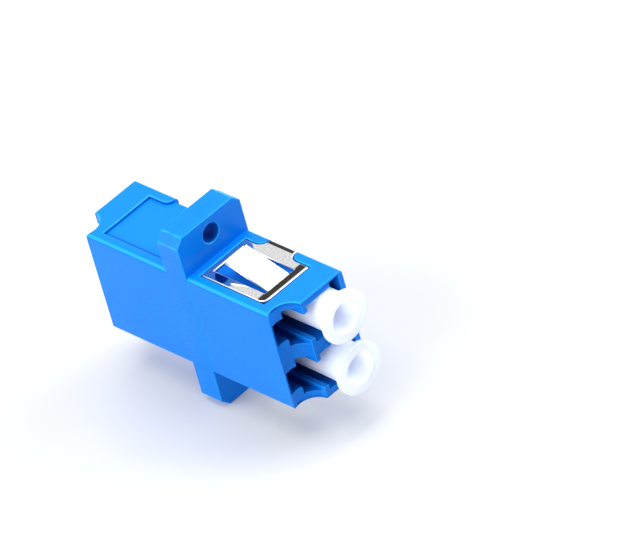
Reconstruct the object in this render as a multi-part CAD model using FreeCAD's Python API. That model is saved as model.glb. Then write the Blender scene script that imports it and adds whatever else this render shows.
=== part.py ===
import FreeCAD, Part
import os
from math import sin, tan

# Duplex LC fibre adapter with a flange, a sprung panel clip and two dust caps.
#
# Frame: the origin is the centre of the flange's front face, where the panel seats. +Z runs up
# along the flange's ears, -Y leaves the capped front ports, +Y leaves the open rear ports, and
# -X is the latch side of the ports. All lengths are in millimetres and angles in degrees.

# Flange
FLANGE_W = 9.3            # across X
FLANGE_H = 22.0           # ear tip to ear tip
FLANGE_T = 3.06           # both halves together
FLANGE_CHAMFER = 0.95     # at the four ear corners
FLANGE_EDGE_R = 0.15      # round on the outer face's rim
SCREW_PITCH = 18.0        # from one ear's hole to the other's
SCREW_D = 2.2

# Body behind and in front of the flange; both halves are the same moulding
BODY_W = 9.2
BODY_H = 12.6
BODY_REACH = 13.65        # from the flange's face to the mouth
BODY_EDGE_R = 0.5         # round on the four long edges
BODY_END_CHAMFER = 0.15   # on the mouth's outer rim

# Scooped mouth on the latch side, for a thumb on the latch
SCOOP_R = 2.05
SCOOP_X = -3.6            # axis of the scoop, in the plane of the mouth

# Ports
PORT_PITCH = 6.25
PORT_X = 1.48             # the ferrule axis
PORT_W = 4.8              # across X, for the plug's body
PORT_H = 4.75
PORT_FLOOR = 1.2          # from the weld plane to the floor of a port
NECK_W = 0.65             # across X, between the plug's body and its latch ears
NECK_H = 3.35
CHAMBER_W = 1.25          # across X, the path of the latch ears
CHAMBER_H = 4.5
SLOT_H = 2.7              # height of the latch arm's slot
LATCH_WALL = 0.3          # left outside the latch arm's slot
CATCH_DEPTH = 4.4         # from the mouth to the shoulders that the latch ears catch
CATCH_WALL = 0.7          # left outside the pockets behind those shoulders
LATCH_DEPTH = 9.6         # from the mouth to the end of the latch's space
RELIEF_X = 2.55           # the mouth's corners are opened from here to the port's far wall
RELIEF_H = 5.86
RELIEF_DEPTH = 2.8
IMPRINT_L = 2.5           # oblong imprint on the web between two mouths
IMPRINT_H = 0.56
IMPRINT_DEPTH = 0.12
IMPRINT_X = 1.1

# Sleeve barrels, split sleeves and the pins that line up the two halves
SLEEVE_BORE_R = 0.625     # takes a 1.25 mm ferrule
SLEEVE_R = 0.81
SLEEVE_L = 6.8
SLEEVE_SLIT = 0.35
SLEEVE_CLEARANCE = 0.03   # round the sleeve and at each end of it
BARREL_R = 1.575
LIP_R = 0.7               # inner edge of the lip that keeps the sleeve in
LIP_MOUTH_R = 1.05        # outer edge, where the ferrule is led in
LIP_T = 0.5
PIN_R = 0.6
PIN_L = 1.0
PIN_X = -2.6
PIN_CLEARANCE = 0.02

# Clip recess, sunk in the top and bottom and led round the side away from the latches
RECESS_DEPTH = 0.35
RECESS_LEFT = -3.48
RECESS_RIGHT = 3.32
RECESS_NEAR = 0.9         # from the flange's face
RECESS_FAR = 10.32
BAND_NEAR = 3.3           # the stretch that opens to the side
BAND_FAR = 7.4
NOSE_R = 0.95             # round on the two noses beside that stretch

# Panel clip
SHEET_T = 0.3
CLIP_FLOOR_GAP = 0.03     # under the sheet
CLIP_EDGE_GAP = 0.15      # round the sheet
CLIP_CORNER_R = 0.85      # on the corner away from the flange and the side band
WINDOW_W = 4.3
WINDOW_NEAR = 1.65        # from the flange's face
WINDOW_FAR = 9.1
TONGUE_W = 3.2
TONGUE_X = -0.15
TONGUE_L = 5.85
TONGUE_LIFT = 15.0        # angle above the sheet when free
TONGUE_GAP = 0.02         # at the bend line

# Dust caps
CAP_NECK_R = 2.175
CAP_STANDOFF = 2.0        # from the mouth to the back of the rim
CAP_RIM_R = 2.95
CAP_RIM_T = 0.7
CAP_RIM_CHAMFER = 0.15
CAP_MOUTH_R = 1.85
CAP_FUNNEL_DEPTH = 3.4    # the bore narrows from its mouth to here
CAP_BORE_R = 1.45
CAP_BORE_DEPTH = 6.5
CAP_FIT = 0.05            # round the sleeve barrel
CAP_SPLAY = 0.9           # each cap leans this angle away from the other, within that fit
CAP_FLOOR_GAP = 1.0       # from the neck's end to the port's floor
CAP_SOCKET_SPARE = 4.2    # empty length past the barrel's end

# Worked out
HALF_FLANGE = FLANGE_T / 2
HALF_LENGTH = HALF_FLANGE + BODY_REACH
PORT_FAR_X = PORT_X + PORT_W / 2
PORT_NEAR_X = PORT_X - PORT_W / 2
CHAMBER_X = PORT_NEAR_X - NECK_W
SLOT_X = CHAMBER_X - CHAMBER_W
BARREL_REACH = SLEEVE_L / 2 + SLEEVE_CLEARANCE + LIP_T
PORT_HEIGHTS = {"upper": PORT_PITCH / 2, "lower": -PORT_PITCH / 2}
SPARE = 1.0               # how far cutting tools run past a surface
FLUSH = 1e-6              # a point nearer to a plane than this lies in it


def slab(x_range, y_range, z_range):
    """A box between two values on each axis."""
    corner = FreeCAD.Vector(x_range[0], y_range[0], z_range[0])
    size = [high - low for low, high in (x_range, y_range, z_range)]
    return Part.makeBox(size[0], size[1], size[2], corner)


def rod(x, z, radius, y_range):
    """A cylinder along Y."""
    start = FreeCAD.Vector(x, y_range[0], z)
    return Part.makeCylinder(radius, y_range[1] - y_range[0], start, FreeCAD.Vector(0, 1, 0))


def taper(x, z, radii, y_range):
    """A cone along Y, with one radius at each end."""
    start = FreeCAD.Vector(x, y_range[0], z)
    return Part.makeCone(radii[0], radii[1], y_range[1] - y_range[0], start, FreeCAD.Vector(0, 1, 0))


def edges_where(shape, test):
    """The straight edges whose two ends both pass the test."""
    return [edge for edge in shape.Edges if all(test(vertex.Point) for vertex in edge.Vertexes)]


def edges_along_y(shape):
    """The straight edges that run along Y."""
    chosen = []
    for edge in shape.Edges:
        run = edge.Vertexes[-1].Point - edge.Vertexes[0].Point
        if abs(run.y) > 0.99 * run.Length:
            chosen.append(edge)
    return chosen


def rounded_bar(half_w, half_h, radius, y_range):
    """A bar along Y with its four long edges rounded."""
    bar = slab((-half_w, half_w), y_range, (-half_h, half_h))
    return bar.makeFillet(radius, edges_along_y(bar))


def rounded_prism(corners, z_range):
    """A prism along Z on an outline of (x, y, radius) corners; radius 0 is a sharp corner."""
    edges = []
    ends = []
    count = len(corners)
    for index, (x, y, radius) in enumerate(corners):
        here = FreeCAD.Vector(x, y, z_range[0])
        before = FreeCAD.Vector(corners[index - 1][0], corners[index - 1][1], z_range[0])
        after_corner = corners[(index + 1) % count]
        after = FreeCAD.Vector(after_corner[0], after_corner[1], z_range[0])
        to_before = (before - here).normalize()
        to_after = (after - here).normalize()
        if radius == 0:
            ends.append((here, here))
            continue
        half_angle = to_before.getAngle(to_after) / 2
        inset = radius / tan(half_angle)
        bisector = (to_before + to_after).normalize()
        middle = here + bisector * (radius / sin(half_angle) - radius)
        start = here + to_before * inset
        end = here + to_after * inset
        edges.append(Part.Arc(start, middle, end).toShape())
        ends.append((start, end))
    for index in range(count):
        edges.append(Part.LineSegment(ends[index - 1][1], ends[index][0]).toShape())
    outline = Part.Wire(Part.__sortEdges__(edges))
    return Part.Face(outline).extrude(FreeCAD.Vector(0, 0, z_range[1] - z_range[0]))


def from_flange(distance):
    """The y of a place on the front half, in the weld plane's frame."""
    return -(HALF_FLANGE + distance)


def clip_plan(inset, corner_radius):
    """The recess seen from above, as a prism; the clip's own plan is the same, inset."""
    left = RECESS_LEFT + inset
    right = RECESS_RIGHT - inset
    side = BODY_W / 2 + SPARE
    near = from_flange(RECESS_NEAR + inset)
    far = from_flange(RECESS_FAR - inset)
    band_near = from_flange(BAND_NEAR + inset)
    band_far = from_flange(BAND_FAR - inset)
    nose = NOSE_R + inset
    corners = [
        (left, near, 0),
        (right, near, 0),
        (right, band_near, nose),
        (side, band_near, 0),
        (side, band_far, 0),
        (right, band_far, nose),
        (right, far, 0),
        (left, far, corner_radius),
    ]
    tall = BODY_H / 2 + SPARE
    return rounded_prism(corners, (-tall, tall))


def inner_bar(gap):
    """The body's core under the clip recess, grown by a gap."""
    sunk = RECESS_DEPTH - gap
    radius = max(BODY_EDGE_R - sunk, BODY_EDGE_R / 10)
    y_range = (-HALF_LENGTH - SPARE, SPARE)
    return rounded_bar(BODY_W / 2 - sunk, BODY_H / 2 - sunk, radius, y_range)


def port_space(z):
    """The hollow of one port: the plug's body, its latch and the opened mouth corners."""
    mouth = -HALF_LENGTH
    outside = mouth - SPARE
    latch_end = mouth + LATCH_DEPTH
    stretches = [
        ((PORT_NEAR_X, PORT_FAR_X), (outside, -PORT_FLOOR), PORT_H),
        ((CHAMBER_X, PORT_NEAR_X), (outside, latch_end), NECK_H),
        ((SLOT_X, CHAMBER_X), (outside, latch_end), CHAMBER_H),
        ((-BODY_W / 2 + LATCH_WALL, SLOT_X), (outside, latch_end), SLOT_H),
        ((-BODY_W / 2 + CATCH_WALL, SLOT_X), (mouth + CATCH_DEPTH, latch_end), CHAMBER_H),
        ((RELIEF_X, PORT_FAR_X), (outside, mouth + RELIEF_DEPTH), RELIEF_H),
    ]
    boxes = []
    for x_range, y_range, height in stretches:
        boxes.append(slab(x_range, y_range, (z - height / 2, z + height / 2)))
    return boxes[0].fuse(boxes[1:]).removeSplitter()


def web_imprint():
    """The shallow oblong sunk in the mouth's web, between the two ports."""
    y_range = (-HALF_LENGTH - SPARE, -HALF_LENGTH + IMPRINT_DEPTH)
    straight = (IMPRINT_L - IMPRINT_H) / 2
    middle = slab((IMPRINT_X - straight, IMPRINT_X + straight), y_range, (-IMPRINT_H / 2, IMPRINT_H / 2))
    ends = [rod(IMPRINT_X + side * straight, 0, IMPRINT_H / 2, y_range) for side in (-1, 1)]
    return middle.fuse(ends)


def flange_half():
    """Half of the flange, from its outer face to the weld plane."""
    half_w = FLANGE_W / 2
    half_h = FLANGE_H / 2
    plate = slab((-half_w, half_w), (-HALF_FLANGE, 0), (-half_h, half_h))
    plate = plate.makeChamfer(FLANGE_CHAMFER, edges_along_y(plate))
    rim = edges_where(plate, lambda point: abs(point.y + HALF_FLANGE) < FLUSH)
    plate = plate.makeFillet(FLANGE_EDGE_R, rim)
    holes = []
    for side in (-1, 1):
        holes.append(rod(0, side * SCREW_PITCH / 2, SCREW_D / 2, (-HALF_FLANGE - SPARE, SPARE)))
    return plate.cut(holes)


def body_half():
    """The plain outer form of one half's body, with its scooped mouth."""
    bar = rounded_bar(BODY_W / 2, BODY_H / 2, BODY_EDGE_R, (-HALF_LENGTH, 0))
    rim = edges_where(bar, lambda point: abs(point.y + HALF_LENGTH) < FLUSH)
    bar = bar.makeChamfer(BODY_END_CHAMFER, rim)
    low = FreeCAD.Vector(SCOOP_X, -HALF_LENGTH, -BODY_H / 2 - SPARE)
    scoop = Part.makeCylinder(SCOOP_R, BODY_H + 2 * SPARE, low, FreeCAD.Vector(0, 0, 1))
    return bar.cut(scoop)


def housing_half():
    """One moulded half, with its weld plane at y = 0 and its ports open to -Y."""
    half = body_half().fuse(flange_half())
    recess = clip_plan(0, 0).cut(inner_bar(0))
    hollows = [recess, web_imprint()]
    for z in PORT_HEIGHTS.values():
        hollows.append(port_space(z))
    half = half.cut(hollows)
    barrels = [rod(PORT_X, z, BARREL_R, (-BARREL_REACH, 0)) for z in PORT_HEIGHTS.values()]
    pin = rod(PIN_X, PORT_HEIGHTS["upper"], PIN_R, (-PIN_L, PIN_L))
    half = half.fuse(barrels + [pin])
    bores = []
    for z in PORT_HEIGHTS.values():
        seat_end = -(SLEEVE_L / 2 + SLEEVE_CLEARANCE)
        bores.append(rod(PORT_X, z, SLEEVE_R + SLEEVE_CLEARANCE, (seat_end, SPARE)))
        bores.append(taper(PORT_X, z, (LIP_MOUTH_R, LIP_R), (-BARREL_REACH, seat_end)))
    socket_end = -(PIN_L + PIN_CLEARANCE)
    bores.append(rod(PIN_X, PORT_HEIGHTS["lower"], PIN_R + PIN_CLEARANCE, (socket_end, SPARE)))
    return half.cut(bores).removeSplitter()


def seat(shape, turned=False):
    """Move a shape from the weld plane's frame to the part's; turned makes it the rear half."""
    placed = shape.copy()
    if turned:
        placed.rotate(FreeCAD.Vector(0, 0, 0), FreeCAD.Vector(1, 0, 0), 180)
    placed.translate(FreeCAD.Vector(0, HALF_FLANGE, 0))
    return placed


def split_sleeve(z):
    """A slit tube that lines up the two ferrules of one port."""
    y_range = (-SLEEVE_L / 2, SLEEVE_L / 2)
    tube = rod(PORT_X, z, SLEEVE_R, y_range).cut(rod(PORT_X, z, SLEEVE_BORE_R, y_range))
    slit = slab((PORT_X - SLEEVE_SLIT / 2, PORT_X + SLEEVE_SLIT / 2), y_range, (z, z + 2 * SLEEVE_R))
    return tube.cut(slit)


def panel_clip():
    """The folded sheet: a framed window on the top and the bottom, joined by a band at the side."""
    skin = inner_bar(CLIP_FLOOR_GAP + SHEET_T).cut(inner_bar(CLIP_FLOOR_GAP))
    sheet = skin.common(clip_plan(CLIP_EDGE_GAP, CLIP_CORNER_R))
    y_range = (from_flange(WINDOW_FAR), from_flange(WINDOW_NEAR))
    window = slab((-WINDOW_W / 2, WINDOW_W / 2), y_range, (-BODY_H, BODY_H))
    return sheet.cut(window)


def tongue():
    """The top tongue, lifted about its bend line; the bottom one is its mirror image."""
    middle_z = BODY_H / 2 - RECESS_DEPTH + CLIP_FLOOR_GAP + SHEET_T / 2
    bend_y = from_flange(WINDOW_FAR - TONGUE_GAP - SHEET_T / 2)
    x_range = (TONGUE_X - TONGUE_W / 2, TONGUE_X + TONGUE_W / 2)
    z_range = (middle_z - SHEET_T / 2, middle_z + SHEET_T / 2)
    blade = slab(x_range, (bend_y, bend_y + TONGUE_L), z_range)
    start = FreeCAD.Vector(x_range[0], bend_y, middle_z)
    root = Part.makeCylinder(SHEET_T / 2, TONGUE_W, start, FreeCAD.Vector(1, 0, 0))
    whole = blade.fuse(root).removeSplitter()
    whole.rotate(start, FreeCAD.Vector(1, 0, 0), TONGUE_LIFT)
    return whole


def dust_cap(z):
    """A hollow cap: its neck fits over the sleeve barrel and its rim stands off the mouth. The
    cap leans about the middle of its grip on the barrel, away from its neighbour."""
    rim_back = -(HALF_LENGTH + CAP_STANDOFF)
    front = rim_back - CAP_RIM_T
    neck_end = -(PORT_FLOOR + CAP_FLOOR_GAP)
    neck = rod(PORT_X, z, CAP_NECK_R, (front, neck_end))
    rim = rod(PORT_X, z, CAP_RIM_R, (front, rim_back))
    rim = rim.makeChamfer(CAP_RIM_CHAMFER, rim.Edges)
    bore = rod(PORT_X, z, CAP_BORE_R, (front - SPARE, front + CAP_BORE_DEPTH))
    funnel = taper(PORT_X, z, (CAP_MOUTH_R, CAP_BORE_R), (front, front + CAP_FUNNEL_DEPTH))
    socket_front = -(BARREL_REACH + CAP_SOCKET_SPARE)
    socket = rod(PORT_X, z, BARREL_R + CAP_FIT, (socket_front, SPARE))
    cap = neck.fuse(rim).removeSplitter().cut([bore, funnel, socket])
    grip = FreeCAD.Vector(PORT_X, (neck_end - BARREL_REACH) / 2, z)
    lean = -CAP_SPLAY if z > 0 else CAP_SPLAY
    cap.rotate(grip, FreeCAD.Vector(1, 0, 0), lean)
    return cap


def main():
    half = housing_half()
    top_tongue = tongue()
    pieces = {
        "front_housing": seat(half),
        "rear_housing": seat(half, turned=True),
        "panel_clip": seat(panel_clip()),
        "clip_tongue_top": seat(top_tongue),
        "clip_tongue_bottom": seat(top_tongue.mirror(FreeCAD.Vector(0, 0, 0), FreeCAD.Vector(0, 0, 1))),
    }
    for name, z in PORT_HEIGHTS.items():
        pieces["split_sleeve_" + name] = seat(split_sleeve(z))
        pieces["dust_cap_" + name] = seat(dust_cap(z))
    os.makedirs("parts", exist_ok=True)
    for name, shape in pieces.items():
        print(name, len(shape.Solids), "solid", round(shape.Volume, 3), "mm3", shape.isValid())
        shape.exportStep("parts/" + name + ".step")


main()
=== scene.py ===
import math

import bpy
import bmesh
from mathutils import Matrix, Vector


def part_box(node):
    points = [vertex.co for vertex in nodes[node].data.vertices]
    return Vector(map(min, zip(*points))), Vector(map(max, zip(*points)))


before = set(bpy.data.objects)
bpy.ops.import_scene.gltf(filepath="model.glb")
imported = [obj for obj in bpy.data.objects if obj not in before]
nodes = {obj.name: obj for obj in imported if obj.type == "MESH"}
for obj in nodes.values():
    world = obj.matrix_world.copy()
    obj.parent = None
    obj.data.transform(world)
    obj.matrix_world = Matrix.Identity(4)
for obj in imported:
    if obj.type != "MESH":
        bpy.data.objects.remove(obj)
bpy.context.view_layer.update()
scene = bpy.context.scene

MM = 0.001

# The housing's main places. Its top and bottom look the same, and so do its two halves but for the
# clip, so most of these are distances from the weld or from the middle.
FLANGE_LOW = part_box("front_housing")[0].z         # the lower ear's tip, where the part stands
WELD_Y = (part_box("front_housing")[0].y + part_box("rear_housing")[1].y) / 2
MOUTH = WELD_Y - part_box("front_housing")[0].y     # from the weld to either mouth
BODY_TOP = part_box("panel_clip")[1].z + 0.02 * MM
RECESS_FLOOR = BODY_TOP - 0.35 * MM               # height of the floor under the clip
RECESS_REACH = MOUTH - 2.0 * MM                   # from the weld, past the recess's far end
RECESS_WALL_X = -3.14 * MM                        # the recess's wall on the -X side
TOP_HALF = 4.0 * MM                               # half the width of the top, well within its edges
PORTS_HALF = 4.20 * MM                            # half the width that holds the ports
HOLE_Z = 9.0 * MM                                 # height of the ears' screw holes
HOLE_RADIUS = 1.1 * MM
RIM_Y = 1.43 * MM                                 # from the weld to the flange's rounded rims
GROOVE_X = 3.9 * MM                               # the groove for the clip's side lies past this
GROOVE_Y = 6.88 * MM                              # from the weld to the middle of that groove
GROOVE_HALF = 2.12 * MM                           # half the groove's width, with its edges
FLOOR_HALF = 650 * MM                             # so that low views see no far, unlit floor

# Base colours. A pair is the darker and the paler tone that a material drifts between.
AZURE = ((0.0010, 0.192, 0.76), (0.0014, 0.206, 0.81))
# Painted highlight: the paler tone on the body's long rounded edges and the flange's rims.
AZURE_PAINTED_HIGHLIGHT = (0.012, 0.34, 0.95)
# Painted shade in the ports, screw holes and recess, and the weld's dark seam.
AZURE_PAINTED_SHADE_AND_SEAM = (0.0008, 0.100, 0.48)
# The rounded edges' own material: paler tones that paint a highlight along every rounded edge.
AZURE_EDGE_HIGHLIGHT = ((0.010, 0.33, 0.94), (0.014, 0.36, 0.96))
# The same painted shade and weld seam, on the rounded edges' faces.
AZURE_EDGE_PAINTED_SHADE_AND_SEAM = (0.002, 0.22, 0.72)
SHEET = ((0.64, 0.63, 0.62), (0.95, 0.94, 0.93))
# Painted dark reflection on the clip's front strip and its bends.
SHEET_PAINTED_DARK_REFLECTION = ((0.010, 0.009, 0.008), (0.11, 0.10, 0.09))
# The clip's rounded edges: a paler tone that paints a highlight along them.
SHEET_EDGE_HIGHLIGHT = ((0.85, 0.84, 0.83), (1.0, 1.0, 1.0))
TONGUE = ((0.80, 0.80, 0.79), (0.95, 0.95, 0.94))
# The tongues' cut edges: a near-black tone that paints shade along them.
TONGUE_EDGE_SHADE = ((0.04, 0.04, 0.04), (0.10, 0.09, 0.08))
MILKY = ((0.655, 0.685, 0.755), (0.675, 0.705, 0.77))
# Painted light that brightens the caps' bores.
MILKY_BORE_PAINTED_LIGHT = (0.86, 0.875, 0.93)
ZIRCONIA = ((0.80, 0.78, 0.73), (0.88, 0.86, 0.82))
FLOOR = ((0.655, 0.66, 0.67), (0.665, 0.67, 0.68))


# ---------------------------------------------------------------- camera

def put_camera():
    data = bpy.data.cameras.new("camera")
    data.sensor_fit = "HORIZONTAL"
    data.sensor_width = 36.0
    data.lens = 527.1
    data.clip_start = 0.02
    data.clip_end = 20.0
    cam = bpy.data.objects.new("camera", data)
    scene.collection.objects.link(cam)
    azimuth = math.radians(-35.809)
    elevation = math.radians(36.917)
    roll = math.radians(-16.018)
    target = Vector((6.908, -4.705, 0.301)) * MM
    distance = 920.879 * MM
    back = Vector((
        math.sin(azimuth) * math.cos(elevation),
        -math.cos(azimuth) * math.cos(elevation),
        math.sin(elevation),
    ))
    level = Vector((math.cos(azimuth), math.sin(azimuth), 0.0))
    upright = back.cross(level)
    right = level * math.cos(roll) + upright * math.sin(roll)
    up = back.cross(right)
    turn = Matrix((right, up, back)).transposed().to_4x4()
    cam.matrix_world = Matrix.Translation(target + back * distance) @ turn
    scene.camera = cam


# ---------------------------------------------------------------- sums, in any node tree

def maths(tree, operation, first, second=None, third=None):
    node = tree.nodes.new("ShaderNodeMath")
    node.operation = operation
    for socket, value in zip(node.inputs, (first, second, third)):
        if isinstance(value, (int, float)):
            socket.default_value = value
        elif value is not None:
            tree.links.new(value, socket)
    return node.outputs[0]


def product(tree, result, *values):
    for value in values:
        result = maths(tree, "MULTIPLY", result, value)
    return result


def largest(tree, result, *values):
    for value in values:
        result = maths(tree, "MAXIMUM", result, value)
    return result


def under(tree, value, limit):
    return maths(tree, "LESS_THAN", value, limit)


def over(tree, value, limit):
    return maths(tree, "GREATER_THAN", value, limit)


def near(tree, value, middle, reach):
    return maths(tree, "COMPARE", value, middle, reach)


def unsigned(tree, value):
    return maths(tree, "ABSOLUTE", value)


def away(tree, value, middle):
    """How far the value is from the middle, to either side."""
    return unsigned(tree, maths(tree, "SUBTRACT", value, middle))


def radius(tree, first, second):
    """The distance from an axis that is offset by these two."""
    squares = maths(tree, "ADD", product(tree, first, first), product(tree, second, second))
    return maths(tree, "SQRT", squares)


def split(tree, vector):
    node = tree.nodes.new("ShaderNodeSeparateXYZ")
    tree.links.new(vector, node.inputs[0])
    return node.outputs["X"], node.outputs["Y"], node.outputs["Z"]


# ---------------------------------------------------------------- shading helpers

def new_material(name):
    mat = bpy.data.materials.new(name)
    mat.use_nodes = True
    tree = mat.node_tree
    tree.nodes.clear()
    out = tree.nodes.new("ShaderNodeOutputMaterial")
    shader = tree.nodes.new("ShaderNodeBsdfPrincipled")
    tree.links.new(shader.outputs["BSDF"], out.inputs["Surface"])
    place = tree.nodes.new("ShaderNodeTexCoord")
    return mat, tree, shader, place.outputs["Object"]


def noise(tree, where, scale, detail=2.0, roughness=0.5):
    node = tree.nodes.new("ShaderNodeTexNoise")
    node.inputs["Scale"].default_value = scale
    node.inputs["Detail"].default_value = detail
    node.inputs["Roughness"].default_value = roughness
    tree.links.new(where, node.inputs["Vector"])
    return node.outputs["Fac"]


def ramp(tree, value, colours, low=0.3, high=0.7):
    """Goes from the first colour to the second as the value goes from low to high."""
    node = tree.nodes.new("ShaderNodeValToRGB")
    for point, place, colour in zip(node.color_ramp.elements, (low, high), colours):
        point.position = place
        point.color = (*colour, 1.0)
    tree.links.new(value, node.inputs["Fac"])
    return node.outputs["Color"]


def span(tree, value, low, high, out_low=0.0, out_high=1.0):
    """Goes from out_low to out_high as the value goes from low to high."""
    node = tree.nodes.new("ShaderNodeMapRange")
    node.inputs["From Min"].default_value = low
    node.inputs["From Max"].default_value = high
    node.inputs["To Min"].default_value = out_low
    node.inputs["To Max"].default_value = out_high
    tree.links.new(value, node.inputs["Value"])
    return node.outputs["Result"]


def blend(tree, share, first, second):
    """Goes from the first colour to the second, which may be a plain one, as the share rises."""
    node = tree.nodes.new("ShaderNodeMix")
    node.data_type = "RGBA"
    # The node has sockets of the same names for other kinds of value. These are the colours.
    first_colour, second_colour, result = node.inputs[6], node.inputs[7], node.outputs[2]
    tree.links.new(share, node.inputs["Factor"])
    tree.links.new(first, first_colour)
    if isinstance(second, tuple):
        second_colour.default_value = (*second, 1.0)
    else:
        tree.links.new(second, second_colour)
    return result


def times(tree, where, factors):
    node = tree.nodes.new("ShaderNodeVectorMath")
    node.operation = "MULTIPLY"
    node.inputs[1].default_value = factors
    tree.links.new(where, node.inputs[0])
    return node.outputs["Vector"]


def paint(tree, shader, colour, roughness):
    tree.links.new(colour, shader.inputs["Base Color"])
    tree.links.new(roughness, shader.inputs["Roughness"])


def bump(tree, shader, height, strength, distance):
    node = tree.nodes.new("ShaderNodeBump")
    node.inputs["Strength"].default_value = strength
    node.inputs["Distance"].default_value = distance
    tree.links.new(height, node.inputs["Height"])
    tree.links.new(node.outputs["Normal"], shader.inputs["Normal"])


# ---------------------------------------------------------------- materials

def painted_highlight_share(tree, where, normal):
    """Where a painted highlight pales the plastic: the body's rounded long edges, the flange's
    rims.
    """
    _, y, z = split(tree, where)
    facing_x, facing_y, facing_z = split(tree, normal)
    # The slant is 0 on a flat face of the body and 0.5 where an edge is turned by 45 degrees.
    slant = unsigned(tree, product(tree, facing_x, facing_z))
    on_body = under(tree, unsigned(tree, z), BODY_TOP + 0.05 * MM)
    long_edges = product(tree, span(tree, slant, 0.28, 0.44), on_body)
    endways = unsigned(tree, facing_y)
    turning = product(tree, span(tree, endways, 0.20, 0.45), span(tree, endways, 0.98, 0.88))
    rims = product(tree, near(tree, away(tree, y, WELD_Y), RIM_Y, 0.13 * MM), turning)
    return largest(tree, long_edges, rims)


def painted_shade_and_seam_share(tree, where, normal):
    """Where painted shade darkens the plastic: down the ports, in the screw holes, under the clip,
    on the recess's walls and along the foot of its wall on the -X side; and the dark seam along the
    weld."""
    x, y, z = split(tree, where)
    across = unsigned(tree, x)
    off_weld = away(tree, y, WELD_Y)
    height = unsigned(tree, z)
    _, facing_y, facing_z = split(tree, normal)
    sideways = under(tree, unsigned(tree, facing_y), 0.5)
    upright = under(tree, unsigned(tree, facing_z), 0.5)

    # Painted shade down the ports and in the screw holes.
    inwards = span(tree, off_weld, MOUTH - 0.6 * MM, MOUTH - 2.6 * MM)
    below_recess = under(tree, height, RECESS_FLOOR - 0.05 * MM)
    ports = product(tree, inwards, under(tree, across, PORTS_HALF), below_recess)
    from_hole = largest(tree, away(tree, height, HOLE_Z), across)
    holes = under(tree, from_hole, HOLE_RADIUS + 0.02 * MM)
    hollows = product(tree, largest(tree, ports, holes), sideways)

    # Painted shade under the clip, on the recess's walls and along the foot of the -X wall.
    in_recess = product(tree, under(tree, across, TOP_HALF), under(tree, off_weld, RECESS_REACH))
    at_floor = over(tree, height, RECESS_FLOOR - 0.05 * MM)
    below_top = under(tree, height, BODY_TOP - 0.1 * MM)
    in_front = under(tree, y, 0.0)
    under_clip = product(tree, at_floor, below_top, in_front, under(tree, across, TOP_HALF), 0.6)
    wall_height = near(tree, height, RECESS_FLOOR + 0.13 * MM, 0.18 * MM)
    walls = product(tree, upright, wall_height, in_recess)
    by_wall = span(tree, x, RECESS_WALL_X, RECESS_WALL_X + 0.26 * MM, 0.8, 0.0)
    on_floor = near(tree, height, RECESS_FLOOR, 0.02 * MM)
    foot = product(tree, by_wall, on_floor, under(tree, off_weld, RECESS_REACH))

    # The dark seam along the weld.
    weld = product(tree, under(tree, off_weld, 0.035 * MM), 0.45)
    return largest(tree, hollows, under_clip, walls, foot, weld)


def blue_plastic(name, tones, lit, shade_and_seam_tone, rough):
    """Moulded azure plastic, paler with painted highlights on its long rounded edges and rims, and
    darker and less glossy with painted shade in its hollows and recesses, and at the seam along the
    weld."""
    mat, tree, shader, where = new_material(name)
    normal = tree.nodes.new("ShaderNodeTexCoord").outputs["Normal"]
    colour = ramp(tree, noise(tree, where, 190.0, 3.0), tones)
    # A painted highlight on the rounded long edges and rims, then painted shade in the hollows, and
    # the weld's seam.
    colour = blend(tree, painted_highlight_share(tree, where, normal), colour, lit)
    shade_and_seam = painted_shade_and_seam_share(tree, where, normal)
    colour = blend(tree, shade_and_seam, colour, shade_and_seam_tone)
    grain = noise(tree, where, 7000.0)
    gloss = span(tree, grain, 0.3, 0.7, rough - 0.04, rough + 0.05)
    gloss = maths(tree, "ADD", gloss, product(tree, shade_and_seam, 0.3))
    paint(tree, shader, colour, gloss)
    shader.inputs["IOR"].default_value = 1.5
    shader.inputs["Specular IOR Level"].default_value = 0.12
    bump(tree, shader, grain, 0.12, 4e-6)
    return mat


def speckles(tree, where, tones):
    """The fine grain of tumbled steel, and its colour."""
    grain = noise(tree, times(tree, where, (1.0, 0.7, 1.0)), 7500.0, 3.0, 0.65)
    return grain, ramp(tree, grain, tones, high=0.68)


def steel(name, tones, rough):
    mat, tree, shader, where = new_material(name)
    shader.inputs["Metallic"].default_value = 1.0
    grain, colour = speckles(tree, where, tones)
    paint(tree, shader, colour, span(tree, grain, 0.3, 0.7, rough + 0.08, rough - 0.06))
    bump(tree, shader, grain, 0.25, 5e-6)
    return mat


def clip_steel(name, front_y, bend_x, top_z):
    """The clip's sheet, darkened by a painted dark reflection in a strip just in front of its
    windows, and round the bend to its side, at the top and at the bottom."""
    mat, tree, shader, where = new_material(name)
    shader.inputs["Metallic"].default_value = 1.0
    grain, colour = speckles(tree, where, SHEET)
    x, y, z = split(tree, where)
    # Painted dark reflection: a strip in front of the windows, and the bends to the sides.
    front = product(
        tree,
        span(tree, y, front_y + 0.10 * MM, front_y - 0.05 * MM),
        span(tree, y, front_y - 0.90 * MM, front_y - 0.82 * MM),
    )
    side = product(
        tree,
        span(tree, x, bend_x - 0.04 * MM, bend_x + 0.04 * MM),
        span(tree, x, bend_x + 0.54 * MM, bend_x + 0.46 * MM),
        span(tree, unsigned(tree, z), top_z - 0.5 * MM, top_z - 0.3 * MM),
    )
    dark_reflection = ramp(tree, grain, SHEET_PAINTED_DARK_REFLECTION, 0.35, 0.75)
    colour = blend(tree, largest(tree, front, side), colour, dark_reflection)
    paint(tree, shader, colour, span(tree, grain, 0.3, 0.7, 0.09, 0.05))
    bump(tree, shader, grain, 0.03, 5e-6)
    return mat


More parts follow.
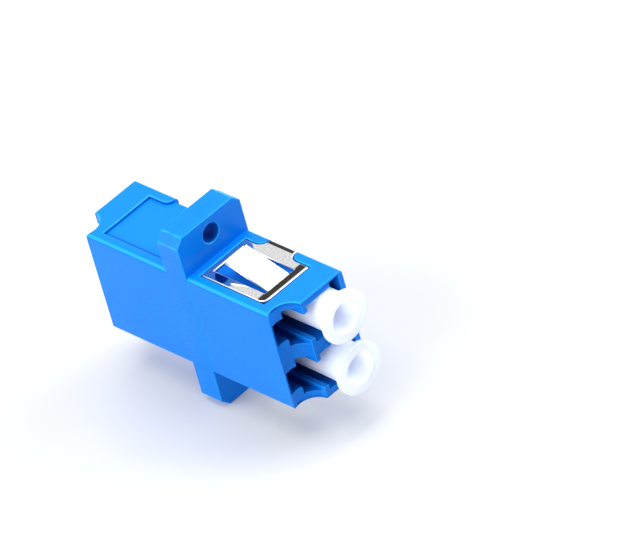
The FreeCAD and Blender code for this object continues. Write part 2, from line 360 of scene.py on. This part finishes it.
def milky_plastic(name, axis_x, axis_z):
    """The caps' waxy plastic, which light soaks into, with painted light brightening the bore along
    the cap's axis.
    """
    mat, tree, shader, where = new_material(name)
    colour = ramp(tree, noise(tree, where, 240.0), MILKY)
    x, _, z = split(tree, where)
    beside = maths(tree, "SUBTRACT", x, axis_x)
    above = maths(tree, "SUBTRACT", unsigned(tree, z), axis_z)
    # Painted light in the bore.
    bore = span(tree, radius(tree, beside, above), 1.88 * MM, 1.80 * MM)
    colour = blend(tree, bore, colour, MILKY_BORE_PAINTED_LIGHT)
    grain = noise(tree, where, 5000.0)
    paint(tree, shader, colour, span(tree, grain, 0.3, 0.7, 0.36, 0.46))
    shader.inputs["IOR"].default_value = 1.5
    shader.inputs["Specular IOR Level"].default_value = 0.3
    shader.inputs["Subsurface Weight"].default_value = 1.0
    shader.inputs["Subsurface Radius"].default_value = (0.9, 1.0, 1.25)
    shader.inputs["Subsurface Scale"].default_value = 2.5 * MM
    shader.subsurface_method = "BURLEY"
    bump(tree, shader, grain, 0.1, 4e-6)
    return mat


def zirconia(name):
    mat, tree, shader, where = new_material(name)
    grain = noise(tree, where, 9000.0)
    colour = ramp(tree, grain, ZIRCONIA)
    paint(tree, shader, colour, span(tree, grain, 0.3, 0.7, 0.18, 0.26))
    shader.inputs["IOR"].default_value = 2.1
    bump(tree, shader, grain, 0.08, 2e-6)
    return mat


# ---------------------------------------------------------------- modifiers

def geometry_group(name):
    group = bpy.data.node_groups.new(name, "GeometryNodeTree")
    group.interface.new_socket("Geometry", in_out="INPUT", socket_type="NodeSocketGeometry")
    group.interface.new_socket("Geometry", in_out="OUTPUT", socket_type="NodeSocketGeometry")
    start = group.nodes.new("NodeGroupInput")
    end = group.nodes.new("NodeGroupOutput")
    return group, start.outputs[0], end.inputs[0]


def crease(group, mesh, edges):
    """Keeps the smooth shading from running over these edges."""
    node = group.nodes.new("GeometryNodeSetShadeSmooth")
    node.domain = "EDGE"
    node.inputs["Shade Smooth"].default_value = False
    group.links.new(mesh, node.inputs["Geometry"])
    group.links.new(edges, node.inputs["Selection"])
    return node.outputs["Geometry"]


def moulding_weight(group, weight, outer):
    """How much a housing's edges are rounded: in full on the body's top and bottom and on the ears,
    by half elsewhere and at the screw holes, and not at all on the weld or in the clip's groove."""
    ends = group.nodes.new("GeometryNodeInputMeshEdgeVertices")
    off_weld, on_top, on_ear, in_groove, from_hole = [], [], [], [], []
    for end in ("Position 1", "Position 2"):
        x, y, z = split(group, ends.outputs[end])
        off = away(group, y, WELD_Y)
        height = unsigned(group, z)
        off_weld.append(over(group, off, 0.01 * MM))
        on_top.append(over(group, height, BODY_TOP - 0.03 * MM))
        on_ear.append(over(group, height, BODY_TOP + 0.2 * MM))
        in_groove.append(near(group, off, GROOVE_Y, GROOVE_HALF))
        in_groove.append(over(group, x, GROOVE_X))
        from_hole.append(radius(group, maths(group, "SUBTRACT", height, HOLE_Z), x))
    leaves_weld = largest(group, *off_weld)
    body_share = maths(group, "ADD", product(group, 0.5, *on_top), 0.5)
    body = product(group, weight, leaves_weld, body_share)
    at_hole = under(group, maths(group, "ADD", *from_hole), 2 * HOLE_RADIUS + 0.2 * MM)
    ear_share = maths(group, "SUBTRACT", 1.0, product(group, at_hole, 0.5))
    ears = product(group, *on_ear, outer, ear_share, leaves_weld)
    off_groove = maths(group, "SUBTRACT", 1.0, product(group, *in_groove))
    return product(group, largest(group, body, ears), off_groove)


def edge_nodes(name, limit, moulded=False):
    """Smooth shading, with the edges over the limit, in degrees, kept sharp. The outer ones get the
    weight to be rounded by: square ones in full, a chamfer's less, a thin wedge's not at all."""
    group, start, end = geometry_group(name)
    plain = group.nodes.new("GeometryNodeRemoveAttribute")
    plain.inputs["Name"].default_value = "custom_normal"
    group.links.new(start, plain.inputs["Geometry"])
    smooth = group.nodes.new("GeometryNodeSetShadeSmooth")
    group.links.new(plain.outputs["Geometry"], smooth.inputs["Geometry"])
    angle = group.nodes.new("GeometryNodeInputMeshEdgeAngle")
    sharp = over(group, angle.outputs["Unsigned Angle"], math.radians(limit))
    turn = angle.outputs["Signed Angle"]
    outer = over(group, turn, math.radians(limit))
    square = over(group, turn, math.radians(52.0))
    wedge = over(group, turn, math.radians(100.0))
    share = maths(group, "ADD", product(group, square, 0.7), 0.3)
    weight = product(group, maths(group, "SUBTRACT", outer, wedge), share)
    if moulded:
        weight = moulding_weight(group, weight, outer)
    store = group.nodes.new("GeometryNodeStoreNamedAttribute")
    store.data_type = "FLOAT"
    store.domain = "EDGE"
    store.inputs["Name"].default_value = "bevel_weight_edge"
    group.links.new(crease(group, smooth.outputs["Geometry"], sharp), store.inputs["Geometry"])
    group.links.new(weight, store.inputs["Value"])
    group.links.new(store.outputs["Geometry"], end)
    return group


def parting_nodes(name):
    """Parts the shading of the rounded edges from that of the faces beside them, which stay true.
    The two have materials 0 and 1, so an edge between them reads 0.5 from its two faces."""
    group, start, end = geometry_group(name)
    slot = product(group, group.nodes.new("GeometryNodeInputMaterialIndex").outputs[0], 1.0)
    hold = group.nodes.new("GeometryNodeFieldOnDomain")
    hold.data_type = "FLOAT"
    hold.domain = "FACE"
    group.links.new(slot, hold.inputs[0])
    mixed = near(group, hold.outputs[0], 0.5, 0.3)
    group.links.new(crease(group, start, mixed), end)
    return group


def dress(name, materials, edges, merge_flats=True):
    """Gives a CAD node its materials, and marks which of its edges are sharp and rounded."""
    obj = nodes[name]
    obj.data.materials.clear()
    for mat in materials:
        obj.data.materials.append(mat)
    weld = obj.modifiers.new("weld", "WELD")
    weld.merge_threshold = 0.001 * MM
    if merge_flats:
        flat = obj.modifiers.new("flat", "DECIMATE")
        flat.decimate_type = "DISSOLVE"
        flat.angle_limit = math.radians(0.6)
    mark = obj.modifiers.new("mark", "NODES")
    mark.node_group = edges


def round_edges(name, width, parting, segments=3):
    """Rounds the marked edges of a dressed node, in its second material."""
    obj = nodes[name]
    bevel = obj.modifiers.new("round", "BEVEL")
    bevel.width = width
    bevel.segments = segments
    bevel.limit_method = "WEIGHT"
    bevel.use_clamp_overlap = False
    bevel.miter_outer = "MITER_ARC"
    bevel.material = 1
    part = obj.modifiers.new("part", "NODES")
    part.node_group = parting


# ---------------------------------------------------------------- stage

def put_floor():
    mat, tree, shader, where = new_material("floor")
    colour = ramp(tree, noise(tree, where, 6.0), FLOOR)
    tree.links.new(colour, shader.inputs["Base Color"])
    shader.inputs["Roughness"].default_value = 0.9
    shader.inputs["Specular IOR Level"].default_value = 0.1
    mesh = bpy.data.meshes.new("floor")
    build = bmesh.new()
    bmesh.ops.create_grid(build, x_segments=2, y_segments=2, size=FLOOR_HALF)
    build.to_mesh(mesh)
    build.free()
    mesh.materials.append(mat)
    floor = bpy.data.objects.new("floor", mesh)
    floor.location = (0.0, 0.0, FLANGE_LOW)
    scene.collection.objects.link(floor)


def put_area(name, place, size, power, aim=(0.0, 0.0, 0.0)):
    data = bpy.data.lights.new(name, "AREA")
    data.shape = "RECTANGLE"
    data.size, data.size_y = size
    data.energy = power
    lamp = bpy.data.objects.new(name, data)
    lamp.location = place
    lamp.rotation_mode = "QUATERNION"
    lamp.rotation_quaternion = (Vector(aim) - Vector(place)).to_track_quat("-Z", "Y")
    scene.collection.objects.link(lamp)


def put_world():
    """A dim room for the light and the reflections; the backdrop itself is seen white."""
    world = bpy.data.worlds.new("studio")
    world.use_nodes = True
    tree = world.node_tree
    tree.nodes.clear()
    out = tree.nodes.new("ShaderNodeOutputWorld")
    room = tree.nodes.new("ShaderNodeBackground")
    room.inputs["Color"].default_value = (0.80, 0.88, 1.0, 1.0)
    room.inputs["Strength"].default_value = 0.13
    backdrop = tree.nodes.new("ShaderNodeBackground")
    backdrop.inputs["Color"].default_value = (1.0, 1.0, 1.0, 1.0)
    backdrop.inputs["Strength"].default_value = 1.0
    rays = tree.nodes.new("ShaderNodeLightPath")
    mix = tree.nodes.new("ShaderNodeMixShader")
    tree.links.new(rays.outputs["Is Camera Ray"], mix.inputs[0])
    tree.links.new(room.outputs[0], mix.inputs[1])
    tree.links.new(backdrop.outputs[0], mix.inputs[2])
    tree.links.new(mix.outputs[0], out.inputs["Surface"])
    scene.world = world


# ---------------------------------------------------------------- put together

put_camera()
put_world()
scene.view_settings.view_transform = "Standard"
put_floor()
put_area("top", (0.05, 0.10, 0.80), (0.9, 0.6), 6.8, aim=(0.05, 0.0999, 0.0))
put_area("back", (0.47, 0.65, 0.60), (0.7, 0.7), 1.25)
put_area("left", (-0.70, 0.15, 0.44), (1.3, 0.5), 8.3)
put_area("right", (0.55, -0.30, 0.40), (0.7, 0.5), 4.8)

clip_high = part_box("panel_clip")[1]
tongue_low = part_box("clip_tongue_top")[0]
cap_low, cap_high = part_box("dust_cap_upper")

blue = blue_plastic("housing_blue", AZURE, AZURE_PAINTED_HIGHLIGHT, AZURE_PAINTED_SHADE_AND_SEAM, 0.30)
blue_edge_highlight = blue_plastic("housing_blue_edge_highlight", AZURE_EDGE_HIGHLIGHT, AZURE_EDGE_HIGHLIGHT[1], AZURE_EDGE_PAINTED_SHADE_AND_SEAM, 0.22)
sheet = clip_steel("clip_steel", tongue_low.y, clip_high.x - 0.70 * MM, clip_high.z)
sheet_edge_highlight = steel("clip_steel_edge_highlight", SHEET_EDGE_HIGHLIGHT, 0.40)
tongue = steel("tongue_steel", TONGUE, 0.30)
tongue_edge_shade = steel("tongue_steel_edge_shade", TONGUE_EDGE_SHADE, 0.30)
milky = milky_plastic("cap_milky", (cap_low.x + cap_high.x) / 2, (cap_low.z + cap_high.z) / 2)
white = zirconia("sleeve_zirconia")

moulded = edge_nodes("moulded_edges", 38.0, moulded=True)
cut = edge_nodes("cut_edges", 38.0)
turned = edge_nodes("turned_edges", 30.0)
parting = parting_nodes("parting")

for name in ("front_housing", "rear_housing"):
    dress(name, [blue, blue_edge_highlight], moulded)
    round_edges(name, 0.12 * MM, parting)
dress("panel_clip", [sheet, sheet_edge_highlight], cut)
round_edges("panel_clip", 0.10 * MM, parting)
for name in ("clip_tongue_top", "clip_tongue_bottom"):
    dress(name, [tongue, tongue_edge_shade], cut)
    round_edges(name, 0.05 * MM, parting, segments=2)
for name in ("dust_cap_upper", "dust_cap_lower"):
    dress(name, [milky], turned, merge_flats=False)
for name in ("split_sleeve_upper", "split_sleeve_lower"):
    dress(name, [white], turned)
